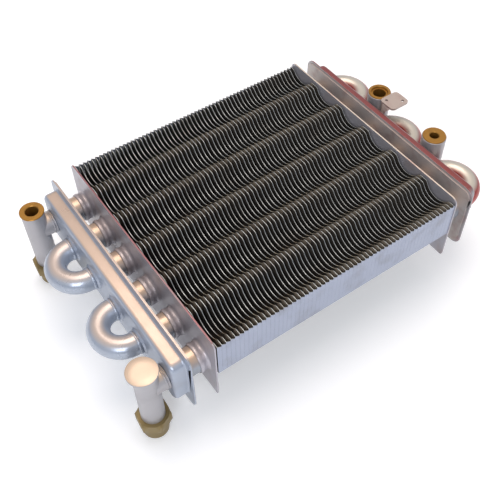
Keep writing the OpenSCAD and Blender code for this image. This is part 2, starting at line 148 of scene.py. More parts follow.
world = bpy.data.worlds.new("room")
bpy.context.scene.world = world
world.use_nodes = True
room = world.node_tree
room.nodes.clear()
room_path = add(room, "ShaderNodeLightPath")
room_place = add(room, "ShaderNodeTexCoord")
room_axes = add(room, "ShaderNodeSeparateXYZ", {0: room_place.outputs["Generated"]})
room_ramp = add(room, "ShaderNodeValToRGB", {0: room_axes.outputs["Z"]})
room_ramp.color_ramp.elements[0].color = srgb("b0bace")
room_ramp.color_ramp.elements[1].color = srgb("f5ede6")
room_ramp.color_ramp.elements[0].position = 0.1
room_ramp.color_ramp.elements[1].position = 0.75
room_mirror = add(room, "ShaderNodeBackground", {"Color": room_ramp.outputs[0], "Strength": 0.9})
room_light = add(room, "ShaderNodeBackground", {"Color": srgb("f2f4f8"), "Strength": 0.55})
room_white = add(room, "ShaderNodeBackground", {"Color": srgb("ffffff"), "Strength": 1.0})
room_inner = add(room, "ShaderNodeMixShader", {
    0: room_path.outputs["Is Glossy Ray"], 1: room_light.outputs[0], 2: room_mirror.outputs[0],
})
room_outer = add(room, "ShaderNodeMixShader", {
    0: room_path.outputs["Is Camera Ray"], 1: room_inner.outputs[0], 2: room_white.outputs[0],
})
add(room, "ShaderNodeOutputWorld", {"Surface": room_outer.outputs[0]})


BLOCK_MIDDLE = Vector((0, 0, 40)) * MM


def soft_lamp(name, place, size, power, colour):
    """A square lamp at a place in metres, facing the block."""
    lamp = bpy.data.lights.new(name, "AREA")
    lamp.size = size
    lamp.energy = power
    lamp.color = srgb(colour)[:3]
    lamp_object = bpy.data.objects.new(name, lamp)
    bpy.context.scene.collection.objects.link(lamp_object)
    lamp_object.location = place
    aim = BLOCK_MIDDLE - Vector(place)
    lamp_object.rotation_euler = aim.to_track_quat("-Z", "Y").to_euler()


soft_lamp("overhead_lamp", (0.15, 0.25, 1.3), 0.9, 9, "fff3ea")
soft_lamp("front_lamp", (-0.9, -1.0, 0.9), 0.7, 8, "f2f6ff")


# Materials shared by the sheet and pipe work.
# Sprayed aluminium-silver heat paint over copper. It is a satin metal to the eye, with faint
# clouds where the spray lies thicker, and a pink blush where the copper is close under it.
def coated_metal(name, colour, blush, blush_share, roughness, top=None, top_share=0.0,
                 top_from=0.35, top_to=0.95, metallic=0.5):
    """Silver heat paint with a blush of the metal under it, and a painted reflection on the sides that face
    up, a tint in the colour top. The tint starts where the normal's upward part is top_from, and is full at
    top_to."""
    material, tree = new_material(name)
    place = add(tree, "ShaderNodeTexCoord")
    clouds = add(tree, "ShaderNodeTexNoise",
                 {"Vector": place.outputs["Object"], "Scale": 55.0, "Detail": 3.0, "Roughness": 0.55})
    cloud_range = add(tree, "ShaderNodeMapRange",
                      {0: clouds.outputs[0], 1: 0.52, 2: 0.72, 3: 0.0, 4: blush_share})
    tint = add(tree, "ShaderNodeMix", {0: cloud_range.outputs[0], 6: srgb(colour), 7: srgb(blush)},
               data_type="RGBA")
    # A painted reflection: the sides that face up take the colour top, standing for the room overhead
    # mirrored in them.
    if top:
        surface = add(tree, "ShaderNodeNewGeometry")
        facing = add(tree, "ShaderNodeSeparateXYZ", {0: surface.outputs["Normal"]})
        painted_top_reflection = add(tree, "ShaderNodeMapRange",
                   {0: facing.outputs["Z"], 1: top_from, 2: top_to, 3: 0.0, 4: top_share})
        tint = add(tree, "ShaderNodeMix", {0: painted_top_reflection.outputs[0], 6: tint.outputs[2], 7: srgb(top)},
                   data_type="RGBA")
    grain = add(tree, "ShaderNodeTexNoise",
                {"Vector": place.outputs["Object"], "Scale": 900.0, "Detail": 2.0})
    gloss = add(tree, "ShaderNodeMapRange",
                {0: clouds.outputs[0], 1: 0.3, 2: 0.7, 3: roughness - 0.07, 4: roughness + 0.07})
    bump = add(tree, "ShaderNodeBump", {"Height": grain.outputs[0], "Strength": 0.12, "Distance": 0.0002})
    shader = add(tree, "ShaderNodeBsdfPrincipled", {
        "Base Color": tint.outputs[2], "Metallic": metallic, "Roughness": gloss.outputs[0],
        "Normal": bump.outputs[0],
    })
    add(tree, "ShaderNodeOutputMaterial", {"Surface": shader.outputs[0]})
    return material


# Outer and inner tubes. Six copper tubes of 18 mm run level through the block, each with a
# 13.5 mm tube inside it. Drawn tube, sprayed with the block after brazing.
TUBE_NAMES = ["outer_tube_%d" % n for n in range(1, 7)]
tube_boxes = [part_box(name) for name in TUBE_NAMES]
TUBE_R = (tube_boxes[0][1].z - tube_boxes[0][0].z) / 2
TUBE_HALF = tube_boxes[0][1].x
TUBE_Y = [(low.y + high.y) / 2 for low, high in tube_boxes]
AXIS_Z = (tube_boxes[0][0].z + tube_boxes[0][1].z) / 2
TUBE_PITCH = TUBE_Y[0] - TUBE_Y[1]
TUBE_WALL = 0.8 * MM


def turned_to(centre, along):
    """The matrix that stands a flat circle at a centre, square to a direction."""
    along = Vector(along).normalized()
    side = along.cross(Vector((0, 0, 1)) if abs(along.z) < 0.9 else Vector((0, 1, 0))).normalized()
    return Matrix.Translation(centre) @ Matrix((side, along.cross(side), along)).transposed().to_4x4()


def ring(bm, centre, along, radius, segments):
    """A loop of vertices round a centre, square to a direction."""
    made = bmesh.ops.create_circle(bm, cap_ends=False, segments=segments, radius=radius)["verts"]
    bmesh.ops.transform(bm, verts=made, matrix=turned_to(centre, along))
    return made


def only_verts(geometry):
    """The vertices in what an extrusion returns."""
    return [v for v in geometry if isinstance(v, bmesh.types.BMVert)]


def loop_edges(loop):
    """The edges that join the vertices of one loop."""
    inside = set(loop)
    return [e for v in loop for e in v.link_edges if all(x in inside for x in e.verts)]


def pipe(bm, stations, segments=40, closed=True):
    """A skin extruded through rings at (centre, direction, radius); closed ends it on the first ring.
    A radius may be a function of the angle round the ring."""
    first = bmesh.ops.create_circle(bm, cap_ends=False, segments=segments, radius=1)["verts"]
    unit = [v.co.copy() for v in first]
    places = {v: i for i, v in enumerate(first)}
    edges = list(set(loop_edges(first)))
    for count, (centre, along, radius) in enumerate(stations + stations[:1] if closed else stations):
        if count:
            made = bmesh.ops.extrude_edge_only(bm, edges=edges)["geom"]
            fresh = {}
            for v in only_verts(made):
                neighbours = [e.other_vert(v) for e in v.link_edges]
                fresh[v] = next(places[near] for near in neighbours if near in places)
            made_edges = [e for e in made if isinstance(e, bmesh.types.BMEdge)]
            edges = [e for e in made_edges if all(v in fresh for v in e.verts)]
            places = fresh
        matrix = turned_to(centre, along)
        for v, i in places.items():
            size = radius(math.atan2(unit[i].y, unit[i].x)) if callable(radius) else radius
            v.co = matrix @ (unit[i] * size)
    if closed:
        bmesh.ops.remove_doubles(bm, verts=first + list(places), dist=1e-7)


def along_x(x, y):
    """A place on the level of the tubes' axes."""
    return Vector((x, y, AXIS_Z))


# Its peach tint on the upward sides is a painted reflection of the room overhead.
tube_paint = coated_metal("silver_coated_tube", "a3abb6", "8f8a84", 0.4, 0.34, "d9b99c", 0.85)
X = Vector((1, 0, 0))
for tube_name, tube_y in zip(TUBE_NAMES, TUBE_Y):
    tube = bmesh.new()
    wall = ((-TUBE_HALF, TUBE_R), (TUBE_HALF, TUBE_R),
            (TUBE_HALF, TUBE_R - TUBE_WALL), (-TUBE_HALF, TUBE_R - TUBE_WALL))
    pipe(tube, [(along_x(x, tube_y), X, r) for x, r in wall], segments=64)
    tube_piece = link_piece(tube_name + "_pipe", tube, [tube_paint])
    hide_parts(tube_name)

bare_copper = coated_metal("bare_copper", "a2604a", "7c4433", 0.5, 0.3)
for n in range(1, 7):
    nodes["inner_tube_%d" % n].data.materials.clear()
    nodes["inner_tube_%d" % n].data.materials.append(bare_copper)


# Fins. Sixty copper strips stand 3.14 mm apart, punched with six holes and with a round hollow in
# the top edge over each tube. Their front and back ends are folded over to meet the next fin, and
# the folds close the block's long sides. The cut edges are bright and the faces dull.
FIN_COUNT = 60
FIN_PITCH = 3.14 * MM
FIN_THICK = 0.36 * MM
FIN_CREST = 26.0 * MM
FIN_VALLEY = 18.5 * MM
HOLLOW_R = 11.8 * MM
CREST_R = 3.2 * MM
FIN_EDGE = 24.2 * MM
FIN_FOOT = 12.5 * MM
FIN_NOTCH = 4.7 * MM
CREST_STEPS = 4
HOLLOW_STEPS = 8
FOOT_STEPS = 9
TAB_GAP = 0.12 * MM
TAB_SLOPE = 1.8 * MM
FOLD_R = 0.7 * MM
FOLD_BEVEL = 0.63 * MM
STRIP_INNER = 0.91 * MM
STRIP_OUTER = 0.108 * MM
STRIP_SHARE = 0.9995
HOLE_GAP = 0.02 * MM
HOLE_STEPS = 24
FIN_LEAN = 0.22 * MM
FIN_BOW = 0.2 * MM
BOW_TURN = 1.7
fin_low, fin_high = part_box("fin_pack")


def half_hollow(crest):
    """Half a hollow, from the flat crest down to its bottom, as (distance from the tube, height)."""
    drop = crest - FIN_VALLEY
    flat_y = math.sqrt(drop * (2 * HOLLOW_R + 2 * CREST_R - drop))
    turn = math.asin(flat_y / (HOLLOW_R + CREST_R))
    points = []
    for a in [turn * k / CREST_STEPS for k in range(CREST_STEPS + 1)]:
        points.append((flat_y - CREST_R * math.sin(a), crest - CREST_R * (1 - math.cos(a))))
    for a in [turn * k / HOLLOW_STEPS for k in reversed(range(HOLLOW_STEPS))]:
        points.append((HOLLOW_R * math.sin(a), FIN_VALLEY + HOLLOW_R * (1 - math.cos(a))))
    return points


def fin_outline():
    """The fin's edge as points of y and height over the tube axis, once round from the back."""
    points = [(fin_high.y - FOLD_R, FIN_EDGE)]
    for y in TUBE_Y:
        back_half = half_hollow(FIN_EDGE if y == TUBE_Y[0] else FIN_CREST)
        front_half = half_hollow(FIN_EDGE if y == TUBE_Y[-1] else FIN_CREST)
        points += [(y + reach, z) for reach, z in back_half]
        points += [(y - reach, z) for reach, z in reversed(front_half[:-1])]
    points += [(fin_low.y + FOLD_R, FIN_EDGE), (fin_low.y + FOLD_R, -FIN_NOTCH)]
    start = math.asin(FIN_NOTCH / FIN_FOOT)
    for y in reversed(TUBE_Y):
        for k in range(FOOT_STEPS + 1):
            a = start + (math.pi - 2 * start) * k / FOOT_STEPS
            points.append((y - FIN_FOOT * math.cos(a), -FIN_FOOT * math.sin(a)))
    points.append((fin_high.y - FOLD_R, -FIN_NOTCH))
    return points


fin_dice = random.Random(7)
fins = bmesh.new()
sheet = bmesh.new()
edge_verts = [sheet.verts.new((0, y, AXIS_Z + z)) for y, z in fin_outline()]
for a, b in zip(edge_verts, edge_verts[1:] + edge_verts[:1]):
    sheet.edges.new((a, b))
for y in TUBE_Y:
    ring(sheet, along_x(0, y), X, TUBE_R + HOLE_GAP, HOLE_STEPS)
bmesh.ops.triangle_fill(sheet, use_beauty=True, edges=sheet.edges[:])
rear = bmesh.ops.extrude_face_region(sheet, geom=sheet.faces[:], use_keep_orig=True)["geom"]
bmesh.ops.translate(sheet, verts=only_verts(rear), vec=(FIN_THICK, 0, 0))
TAB_LEN = FIN_PITCH - TAB_GAP
for side, edge_y in ((1, fin_high.y), (-1, fin_low.y)):
    # The tab stands square to the fin, with a round fold along its outer corner
    tab = bmesh.ops.create_cube(sheet, size=1)["verts"]
    for vertex in tab:
        far = vertex.co.x > 0
        outer = vertex.co.y * side > 0
        top = FIN_EDGE - (TAB_SLOPE if far else 0)
        z = top if vertex.co.z > 0 else -FIN_NOTCH
        vertex.co = (TAB_LEN if far else 0, edge_y - (0 if outer else side * FIN_THICK), AXIS_Z + z)
    tab_edges = {e for v in tab for e in v.link_edges}
    corner = [v for v in tab if v.co.x == 0 and abs(v.co.y - edge_y) < FIN_THICK / 2]
    fold = [e for e in tab_edges if all(v in corner for v in e.verts)]
    bmesh.ops.bevel(sheet, geom=fold, offset=FOLD_BEVEL, offset_type="OFFSET", affect="EDGES",
                    segments=3, profile=0.5, material=-1)
    # A short strip joins the fin to its tab behind the fold, a hair lower than both
    strip = bmesh.ops.create_cube(sheet, size=1)["verts"]
    for vertex in strip:
        y = edge_y - side * (STRIP_INNER if vertex.co.y * side < 0 else STRIP_OUTER)
        z = FIN_EDGE if vertex.co.z > 0 else -FIN_NOTCH
        vertex.co = (FIN_THICK if vertex.co.x > 0 else 0.0, y, AXIS_Z + z * STRIP_SHARE)
tab_faces = {f for f in sheet.faces if all(abs(v.co.y) > fin_high.y - FIN_THICK * 1.5 for v in f.verts)}
bmesh.ops.recalc_face_normals(sheet, faces=sheet.faces)
RIM, WALL_RIM, TAB = 1, 2, 3
for face in sheet.faces:
    if face.normal.z > 0.25 and face.calc_center_median().z > AXIS_Z + TUBE_R:
        face.material_index = WALL_RIM if face.normal.y > 0.4 else RIM
    elif face in tab_faces:
        face.material_index = TAB
sheet_mesh = bpy.data.meshes.new("one_fin")
sheet.to_mesh(sheet_mesh)
sheet.free()
for i in range(FIN_COUNT):
    # Each fin leans and bows a little, most at its top and not at all at its folded ends
    before = len(fins.verts)
    fins.from_mesh(sheet_mesh)
    fins.verts.ensure_lookup_table()
    lean = fin_dice.uniform(-FIN_LEAN, FIN_LEAN)
    bow = fin_dice.uniform(-FIN_BOW, FIN_BOW)
    phase = fin_dice.uniform(0, math.tau)
    for vertex in fins.verts[before:]:
        height = max(0.0, (vertex.co.z - AXIS_Z - TUBE_R) / (FIN_CREST - TUBE_R))
        inward = 1 - abs(vertex.co.y / fin_high.y) ** 8
        shift = (lean + bow * math.sin(vertex.co.y / TUBE_PITCH * BOW_TURN + phase)) * height * inward
        # The last fin's tabs are cut short at the tube plate
        vertex.co.x = min(vertex.co.x + shift + fin_low.x + i * FIN_PITCH, fin_high.x)
bpy.data.meshes.remove(sheet_mesh)

# Copper sheet gone dull and brown in the flame, lighter towards the top. The faces' near-black is part dull
# copper and part painted shade, for the dark deep in the gaps between the fins. The front wall of every
# hollow is paler, which makes a pale band along the block.
UPPER_FROM = 16.0 * MM
UPPER_TO = 25.0 * MM
BAND_MIDDLE = 3.8 * MM
BAND_CORE = 1.6 * MM
BAND_HALF = 3.4 * MM
BAND_FROM = 15.0 * MM
BAND_TO = 19.0 * MM
fin_face, fin_tree = new_material("dull_copper_and_painted_shade_fin")
fin_place = add(fin_tree, "ShaderNodeTexCoord")
fin_axes = add(fin_tree, "ShaderNodeSeparateXYZ", {0: fin_place.outputs["Object"]})
fin_streaks = add(fin_tree, "ShaderNodeTexNoise",
                  {"Vector": fin_place.outputs["Object"], "Scale": 70.0, "Detail": 4.0})
# Near black: dull copper, and painted shade for the dark deep between the fins.
fin_copper_and_shade = add(fin_tree, "ShaderNodeMix",
                 {0: fin_streaks.outputs[0], 6: srgb("2a2927"), 7: srgb("3d3a36")}, data_type="RGBA")
fin_upper = add(fin_tree, "ShaderNodeMix",
               {0: fin_streaks.outputs[0], 6: srgb("6f685e"), 7: srgb("4e4239")}, data_type="RGBA")
fin_sand = add(fin_tree, "ShaderNodeMix",
               {0: fin_streaks.outputs[0], 6: srgb("b3a996"), 7: srgb("8d7c6d")}, data_type="RGBA")
# Lighter towards the top of the fins, graded by height.
fin_top = add(fin_tree, "ShaderNodeMapRange",
              {0: fin_axes.outputs["Z"], 1: AXIS_Z + UPPER_FROM, 2: AXIS_Z + UPPER_TO, 3: 0.0, 4: 0.5})
fin_graded = add(fin_tree, "ShaderNodeMix",
                {0: fin_top.outputs[0], 6: fin_copper_and_shade.outputs[2], 7: fin_upper.outputs[2]},
                data_type="RGBA")
# How far a place lies behind the crest in front of it, and how far that is from the band's middle
fin_behind = add(fin_tree, "ShaderNodeMath", {0: fin_axes.outputs["Y"], 1: TUBE_PITCH},
                 operation="FLOORED_MODULO")
fin_offset = add(fin_tree, "ShaderNodeMath", {0: fin_behind.outputs[0], 1: BAND_MIDDLE},
                 operation="SUBTRACT")
fin_away = add(fin_tree, "ShaderNodeMath", {0: fin_offset.outputs[0]}, operation="ABSOLUTE")
fin_across = add(fin_tree, "ShaderNodeMapRange",
                 {0: fin_away.outputs[0], 1: BAND_CORE, 2: BAND_HALF, 3: 0.85, 4: 0.0})
fin_height = add(fin_tree, "ShaderNodeMapRange",
                 {0: fin_axes.outputs["Z"], 1: AXIS_Z + BAND_FROM, 2: AXIS_Z + BAND_TO, 3: 0.0, 4: 1.0})
fin_band = add(fin_tree, "ShaderNodeMath", {0: fin_across.outputs[0], 1: fin_height.outputs[0]},
               operation="MULTIPLY")
fin_colour = add(fin_tree, "ShaderNodeMix",
                 {0: fin_band.outputs[0], 6: fin_graded.outputs[2], 7: fin_sand.outputs[2]},
                 data_type="RGBA")
fin_shader = add(fin_tree, "ShaderNodeBsdfPrincipled",
                 {"Base Color": fin_colour.outputs[2], "Metallic": 0.2, "Roughness": 0.6})
add(fin_tree, "ShaderNodeOutputMaterial", {"Surface": fin_shader.outputs[0]})
fin_rim = coated_metal("bright_cut_edge", "b4b8b8", "96918a", 0.6, 0.42)
# The cut edges on the front wall of every hollow are warmer in tone.
wall_rim = coated_metal("warm_wall_cut_edge", "c0b8a6", "8a7a6c", 0.9, 0.5)
tab_paint = coated_metal("silver_coated_tab", "a9b0c2", "9a9da8", 0.8, 0.42)
fin_piece = link_piece("notched_fins", fins, [fin_face, fin_rim, wall_rim, tab_paint], smooth=False)
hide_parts("fin_pack")


# Tube plates. A sheet of 1 mm copper at each end of the fins, with a collar drawn out round every
# tube and a bead at the collar's end where it is brazed. It reaches below the fins as a skirt.
def sheet_outline(bm, x, y_half, z_low, z_high, low_corner, high_corner, steps=6):
    """A rectangle with round corners, square to X: returns its vertices in order."""
    loop = []
    corners = (
        (y_half - high_corner, z_high - high_corner, 0, high_corner),
        (-y_half + high_corner, z_high - high_corner, 1, high_corner),
        (-y_half + low_corner, z_low + low_corner, 2, low_corner),
        (y_half - low_corner, z_low + low_corner, 3, low_corner),
    )
    for y, z, quarter, r in corners:
        for k in range(steps + 1):
            a = (quarter + k / steps) * math.pi / 2
            loop.append(bm.verts.new((x, y + r * math.cos(a), z + r * math.sin(a))))
    for a, b in zip(loop, loop[1:] + loop[:1]):
        bm.edges.new((a, b))
    return loop


def punched_sheet(bm, x, thick, outline, holes):
    """A flat sheet from x to x + thick, where holes are (y, radius) on the tubes' level.
    Its outline is a half width, a bottom, a top, and the radii of the bottom and top corners."""
    before = set(bm.edges)
    sheet_outline(bm, x, *outline)
    for y, r in holes:
        ring(bm, along_x(x, y), X, r, 48)
    edges = [e for e in bm.edges if e not in before]
    made = bmesh.ops.triangle_fill(bm, use_beauty=True, edges=edges)["geom"]
    faces = [f for f in made if isinstance(f, bmesh.types.BMFace)]
    moved = bmesh.ops.extrude_face_region(bm, geom=faces, use_keep_orig=True)["geom"]
    bmesh.ops.translate(bm, verts=only_verts(moved), vec=(thick, 0, 0))


def swollen(start, length, r, height, fullness):
    """A round swelling from a place along X, as (x, radius). A smaller fullness flattens its top."""
    shares = [k / 8 for k in range(9)]
    return [(start + length * s, r + height * math.sin(math.pi * s) ** fullness) for s in shares]


PLATE_CORNER = 5.0 * MM
PLATE_FOOT_CORNER = 2.0 * MM
COLLAR_LEN = 6.4 * MM
COLLAR_WALL = 0.7 * MM
COLLAR_FOOT = 2.0 * MM
BEAD_W = 3.0 * MM
BEAD_H = 0.4 * MM
# The faint peach tint on the sheets' upward faces is a painted reflection of the room overhead.
plate_paint = coated_metal("silver_coated_plate", "b9b6bd", "ab9c9a", 0.6, 0.38, "cdb6aa", 0.4)
plate_edges = {-1: coated_metal("red_worn_edge", "96696c", "a49092", 0.8, 0.5),
               1: coated_metal("cream_worn_edge_and_painted_highlight", "dccdbf", "b88a80", 0.6, 0.4)}
for name, side in (("tube_plate_left", -1), ("tube_plate_right", 1)):
    low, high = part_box(name)
    inner = high.x if side < 0 else low.x
    thick = (high.x - low.x) - COLLAR_LEN
    outer = inner + side * thick
    plate = bmesh.new()
    r = TUBE_R + COLLAR_WALL
    foot_r = r + COLLAR_FOOT
    punched_sheet(plate, inner, side * thick, (high.y, low.z, high.z, PLATE_FOOT_CORNER, PLATE_CORNER),
                  [(y, foot_r) for y in TUBE_Y])
    foot = [(outer + side * COLLAR_FOOT * (1 - math.cos(a)), r + COLLAR_FOOT * (1 - math.sin(a)))
            for a in [math.radians(10 * k) for k in range(10)]]
    bead = swollen(outer + side * (COLLAR_LEN - BEAD_W), side * BEAD_W, r, BEAD_H, 0.5)
    wall = [(inner, foot_r)] + foot + bead + [(outer + side * COLLAR_LEN, TUBE_R), (inner, TUBE_R)]
    for y in TUBE_Y:
        pipe(plate, [(along_x(x, y), X, radius) for x, radius in wall], segments=48)
    # The top edge gets its own colour: red wear on the left sheet, and on the right a cream painted
    # highlight with pink wear clouds in it.
    for face in plate.faces:
        face.normal_update()
        on_top = face.calc_center_median().z > high.z - thick / 2
        if abs(face.normal.z) > 0.7 and on_top:
            face.material_index = 1
    plate_piece = link_piece(name + "_sheet", plate, [plate_paint, plate_edges[side]])
    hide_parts(name)


# Header plates and pans. The tubes end in a flat plate, and a pressed pan closes over it: a flat
# flange, a shallow box with round rims, and a short drawn port for every bend. Brazed together.
HEADER_CORNER = 5.0 * MM
# Its peach tint on the upward faces is a painted reflection of the room overhead.
header_paint = coated_metal("silver_coated_header", "c4bdb8", "a5847c", 0.8, 0.4, "cdb6aa", 0.5)
for name in ("header_plate_left", "header_plate_right"):
    low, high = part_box(name)
    header = bmesh.new()
    punched_sheet(header, low.x, high.x - low.x, (high.y, low.z, high.z, HEADER_CORNER, HEADER_CORNER),
                  [(y, TUBE_R) for y in TUBE_Y])
    header_piece = link_piece(name + "_sheet", header, [header_paint])
    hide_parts(name)

PAN_SHEET = 1.0 * MM
PAN_EDGE = 0.15 * MM
FLANGE_CORNER = 7.0 * MM
BOX_HALF = 18.75 * MM
BOX_CORNER = 6.0 * MM
BOX_RIM = 3.0 * MM
BOX_PAST = 10.25 * MM
BOX_DEPTH = 9.8 * MM
FILLET = 1.6 * MM
PORT_LEN = 1.2 * MM
PORT_WALL = 1.0 * MM
PORT_SUNK = 0.5 * MM
# A port's section as (height over the pan's face, thickness over its bore), with a round foot
PORT_SECTION = [
    (-PORT_SUNK, PORT_WALL + 1.0 * MM), (0.1 * MM, PORT_WALL + 0.9 * MM), (0.5 * MM, PORT_WALL + 0.25 * MM),
    (PORT_LEN - 0.2 * MM, PORT_WALL), (PORT_LEN, PORT_WALL - 0.25 * MM), (PORT_LEN, 0.0), (-PORT_SUNK, 0.0),
]
bend_low, bend_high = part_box("u_bend_right_back")
BEND_R = (bend_high.z - bend_low.z) / 2
left_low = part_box("connector_left_back")[0]
right_low, right_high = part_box("connector_right_back")
RIGHT_OD = right_high.y - right_low.y
NECK_R = 5.5 * MM
LEFT_R = BEND_R + 0.25 * MM
RIGHT_Y = ((TUBE_Y[1] + TUBE_Y[2]) / 2, (TUBE_Y[3] + TUBE_Y[4]) / 2)
# The tint on the upward faces is a painted reflection: peach on the left pan, dark red on the right pan.
pan_paints = {
    -1: coated_metal("silver_coated_left_pan", "a9b1bf", "a0a2aa", 0.5, 0.34,
                     "d2b49b", 0.8, top_from=0.8, top_to=0.98),
    1: coated_metal("silver_coated_right_pan", "aeaaac", "a87068", 0.6, 0.36,
                    "8f3d3a", 0.9, top_from=0.6, top_to=0.97),
}


def inset_ring(bm, x, shape, inset):
    """A round-cornered loop that lies inside a (half width, bottom, top, corner) shape by inset."""
    y_half, z_low, z_high, corner = shape
    r = corner - inset
    return sheet_outline(bm, x, y_half - inset, z_low + inset, z_high - inset, r, r, steps=8)


for name, side in (("header_pan_left", -1), ("header_pan_right", 1)):
    low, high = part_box(name)
    back = high.x if side < 0 else low.x
    face_x = back + side * (PAN_SHEET + BOX_DEPTH)
    flange_shape = (high.y, low.z, high.z, FLANGE_CORNER)
    box_shape = (TUBE_Y[0] + BOX_PAST, AXIS_Z - BOX_HALF, AXIS_Z + BOX_HALF, BOX_CORNER)
    quarter = [math.radians(15 * k) for k in range(7)]
    depth = PAN_SHEET + BOX_DEPTH
    inner_rim = BOX_RIM - PAN_SHEET
    # The skin as (distance from the header plate, shape, inset): flange, fillet, side and rim
    outside = [(0.0, flange_shape, PAN_EDGE), (PAN_EDGE, flange_shape, 0.0),
               (PAN_SHEET - PAN_EDGE, flange_shape, 0.0), (PAN_SHEET, flange_shape, PAN_EDGE)]
    for a in quarter:
        outside.append((PAN_SHEET + FILLET * (1 - math.cos(a)), box_shape, -FILLET * (1 - math.sin(a))))
    for a in quarter:
        outside.append((depth - BOX_RIM * (1 - math.sin(a)), box_shape, BOX_RIM * (1 - math.cos(a))))
    inside = []
    for a in reversed(quarter):
        inside.append((depth - PAN_SHEET - inner_rim * (1 - math.sin(a)), box_shape,
                       PAN_SHEET + inner_rim * (1 - math.cos(a))))
    inside.append((0.0, box_shape, PAN_SHEET))
    pan = bmesh.new()
    outer_loops = [inset_ring(pan, back + side * x, shape, inset) for x, shape, inset in outside]
    inner_loops = [inset_ring(pan, back + side * x, shape, inset) for x, shape, inset in inside]
    pairs = list(zip(outer_loops, outer_loops[1:])) + list(zip(inner_loops, inner_loops[1:]))
    for one, other in pairs + [(inner_loops[-1], outer_loops[0])]:
        bmesh.ops.bridge_loops(pan, edges=list(set(loop_edges(one) + loop_edges(other))))
    if side < 0:
        ports = [(y, BEND_R) for y in TUBE_Y[1:5]]
        necks = [(TUBE_Y[0], LEFT_R), (TUBE_Y[5], LEFT_R)]
    else:
        ports = [(y, BEND_R) for y in TUBE_Y]
        necks = [(y, NECK_R) for y in RIGHT_Y]
    hole_edges = []
    for x, rim_loop in ((face_x, outer_loops[-1]), (face_x - side * PAN_SHEET, inner_loops[0])):
        holes = [list(set(loop_edges(ring(pan, along_x(x, y), X, r, 40)))) for y, r in ports + necks]
        hole_edges.append(holes)
        fill = list(set(loop_edges(rim_loop))) + [e for hole in holes for e in hole]
        bmesh.ops.triangle_fill(pan, use_beauty=True, edges=fill)
    for outer_hole, inner_hole in zip(*hole_edges):
        bmesh.ops.bridge_loops(pan, edges=outer_hole + inner_hole)
    for y, r in ports:
        pipe(pan, [(along_x(face_x + side * rise, y), X, r + over) for rise, over in PORT_SECTION])
    pan_piece = link_piece(name + "_pressing", pan, [pan_paints[side]])
    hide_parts(name)
nodes["pan_divider"].data.materials.clear()
nodes["pan_divider"].data.materials.append(header_paint)


# U-bends. Short lengths of 15 mm copper tube bent through half a turn, which lead the water
# from one tube to the next. The left ones carry a swollen ring where they were expanded.
BEND_WALL = 0.75 * MM
LEG_INSIDE = 3.0 * MM
RING_W = 1.8 * MM
RING_H = 0.5 * MM
RING_GAP = 0.25 * MM
RING_SUNK = 0.3 * MM
BEND_STEPS = 28
CURVE_R = TUBE_PITCH / 2
BENDS = ("u_bend_left_back", "u_bend_left_front",
         "u_bend_right_back", "u_bend_right_middle", "u_bend_right_front")
# Painted reflections: the left bends are tinted peach on top; the right bends are red on their sides and
# cream on top.
bend_paints = {
    -1: coated_metal("silver_coated_left_bend", "adb5c2", "a6a8b0", 0.4, 0.3,
                     "d0b49c", 0.6, top_from=0.75, top_to=0.98),
    1: coated_metal("silver_coated_right_bend", "a54a44", "8f3a38", 0.6, 0.3,
                    "cdc6ba", 1.0, top_from=0.72, top_to=0.96),
}


def bend_path(y_mid, side, leg_x, curve_x):
    """Centres and directions along a bend from its back leg to its front leg."""
    path = [(along_x(leg_x, y_mid + CURVE_R), X * side)]
    for k in range(BEND_STEPS + 1):
        a = math.pi * k / BEND_STEPS
        path.append((along_x(curve_x + side * CURVE_R * math.sin(a), y_mid + CURVE_R * math.cos(a)),
                     Vector((side * math.cos(a), -math.sin(a), 0))))
    path.append((along_x(leg_x, y_mid - CURVE_R), -X * side))
    return path


for name in BENDS:
    low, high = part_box(name)
    side = -1 if "left" in name else 1
    curve_x = (low.x + CURVE_R + BEND_R) if side < 0 else (high.x - CURVE_R - BEND_R)
    leg_x = high.x if side < 0 else low.x
    y_mid = (low.y + high.y) / 2
    bend = bmesh.new()
    path = bend_path(y_mid, side, leg_x, curve_x)
    outer = [(centre, along, BEND_R) for centre, along in path]
    inner = [(centre, along, BEND_R - BEND_WALL) for centre, along in reversed(path)]
    pipe(bend, outer + inner)
    if side < 0:
        ring_start = leg_x + side * (LEG_INSIDE + PORT_LEN + RING_GAP)
        swell = swollen(ring_start, side * RING_W, BEND_R, RING_H, 0.6)
        swell += [(swell[-1][0], BEND_R - RING_SUNK), (swell[0][0], BEND_R - RING_SUNK)]
        for y in (y_mid + CURVE_R, y_mid - CURVE_R):
            pipe(bend, [(along_x(x, y), X, r) for x, r in swell])
    bend_piece = link_piece(name + "_tube", bend, [bend_paints[side]])
    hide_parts(name)


# Left connectors. A standing 15.5 mm tube at each end of the left pan, with a neck to the pan
# that has two swollen rings. Domestic water enters one and leaves by the other.
CONNECTOR_WALL = 1.0 * MM
CONNECTOR_EDGE = 0.3 * MM
NECK_RING_GAP = 0.4 * MM
# Where the neck tapers and ends in the standing tube, as shares of that tube's radius
TAPER_AT = 0.75
NECK_END_AT = 0.3
Z = Vector((0, 0, 1))
# Its peach tint on the upward faces is a painted reflection of the room overhead.
pipe_paint = coated_metal("silver_coated_pipe", "b0aeb1", "a39fa2", 0.5, 0.4, "cbb39c", 0.9, top_from=0.7)


def standing_tube(bm, x, y, low_z, high_z, r):
    """An upright tube with a small chamfer on its top edge."""
    bore_r = r - CONNECTOR_WALL
    shape = [(low_z, bore_r), (low_z, r), (high_z - CONNECTOR_EDGE, r), (high_z, r - CONNECTOR_EDGE),
             (high_z, bore_r)]
    pipe(bm, [(Vector((x, y, z)), Z, radius) for z, radius in shape], segments=56)


